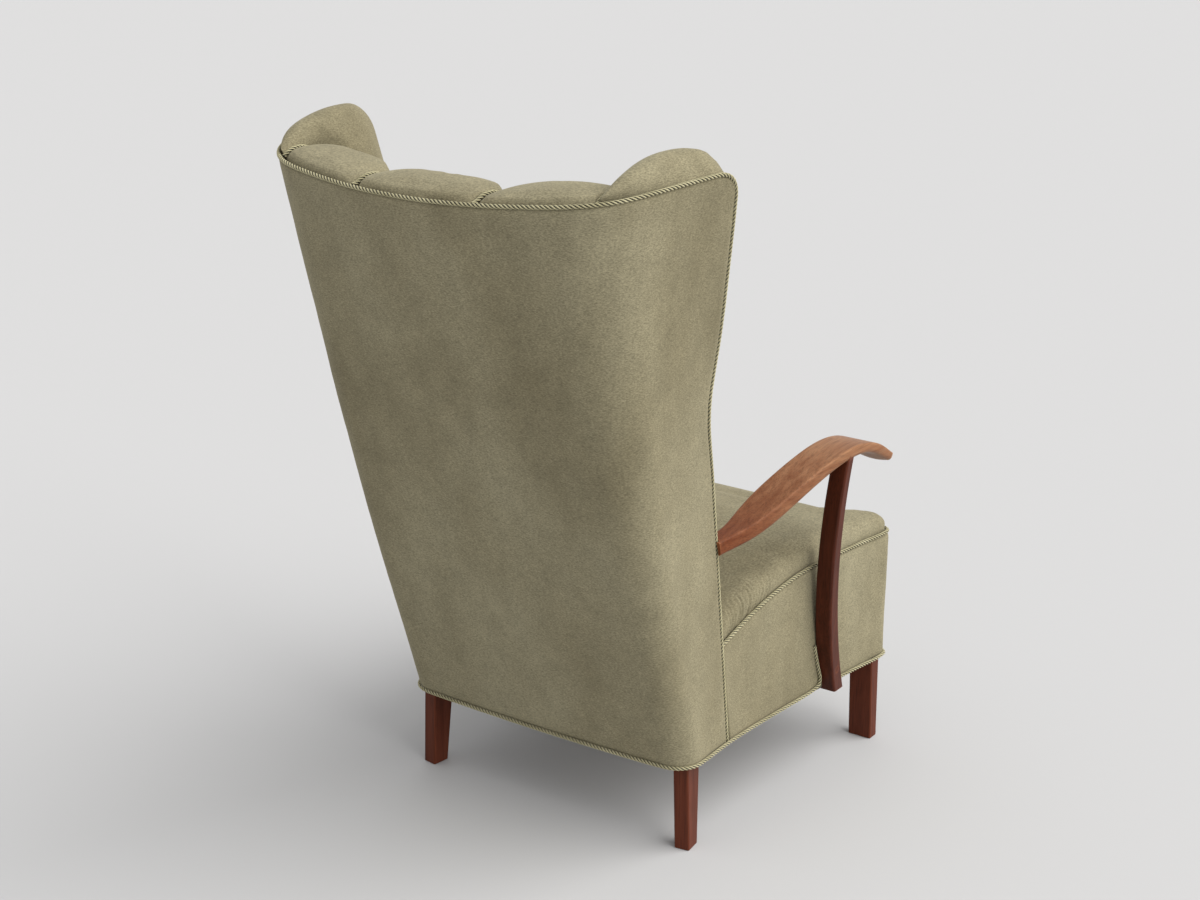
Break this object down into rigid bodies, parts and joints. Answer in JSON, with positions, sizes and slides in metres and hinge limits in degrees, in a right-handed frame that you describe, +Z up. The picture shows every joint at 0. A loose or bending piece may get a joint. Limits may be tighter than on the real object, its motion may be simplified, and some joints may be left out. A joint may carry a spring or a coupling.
{
  "type": "high back armchair",
  "caption": "High-back wing armchair: fluted velour back edged in twisted cord, sprung seat, open shaped wooden arms on curved posts and tapered square legs, for sitting upright.",
  "frame": {"origin": "on the floor under the middle of the chair's bounding box", "axes": "+Z up, -Y the way the sitter faces, +X towards the sitter's left hand"},
  "size_m": [0.7504, 0.9512, 1.1734],
  "materials": {
    "upholstery": "worn velour pile",
    "cord": "twisted cord",
    "arm_wood": "worn satin lacquer",
    "dark_wood": "dark stained satin lacquer",
    "frame_wood": "sawn, unfinished",
    "webbing": "woven jute strap",
    "lining": "plain hessian",
    "steel": "drawn wire"
  },
  "bodies": {
    "root": {"outside_back": "upholstery", "back_pad_centre": "upholstery", "back_pad_left": "upholstery", "back_pad_right": "upholstery", "wing_pad_left": "upholstery", "wing_pad_right": "upholstery", "seat_border": "upholstery", "seat_pad": "upholstery", "back_edge_cord": "cord", "back_seam_cords": "cord", "seat_cord": "cord", "base_cord": "cord", "arm_left": "arm_wood", "arm_right": "arm_wood", "arm_post_left": "dark_wood", "arm_post_right": "dark_wood", "front_leg_left": "dark_wood", "front_leg_right": "dark_wood", "rear_leg_left": "dark_wood", "rear_leg_right": "dark_wood", "post_plugs": "dark_wood", "back_upright_left": "frame_wood", "back_upright_right": "frame_wood", "crest_rail": "frame_wood", "middle_back_rail": "frame_wood", "lower_back_rail": "frame_wood", "wing_board_left": "frame_wood", "wing_board_right": "frame_wood", "front_rail": "frame_wood", "rear_rail": "frame_wood", "side_rail_left": "frame_wood", "side_rail_right": "frame_wood", "front_post_left": "frame_wood", "front_post_right": "frame_wood", "corner_blocks": "frame_wood", "arm_dowels": "frame_wood", "leg_dowels": "frame_wood", "frame_dowels": "frame_wood", "back_webbing": "webbing", "seat_webbing": "webbing", "back_cloth": "lining", "spring_cloth": "lining", "dust_cloth": "lining", "seat_springs": "steel", "post_screws": "steel"}
  },
  "joints": []
}
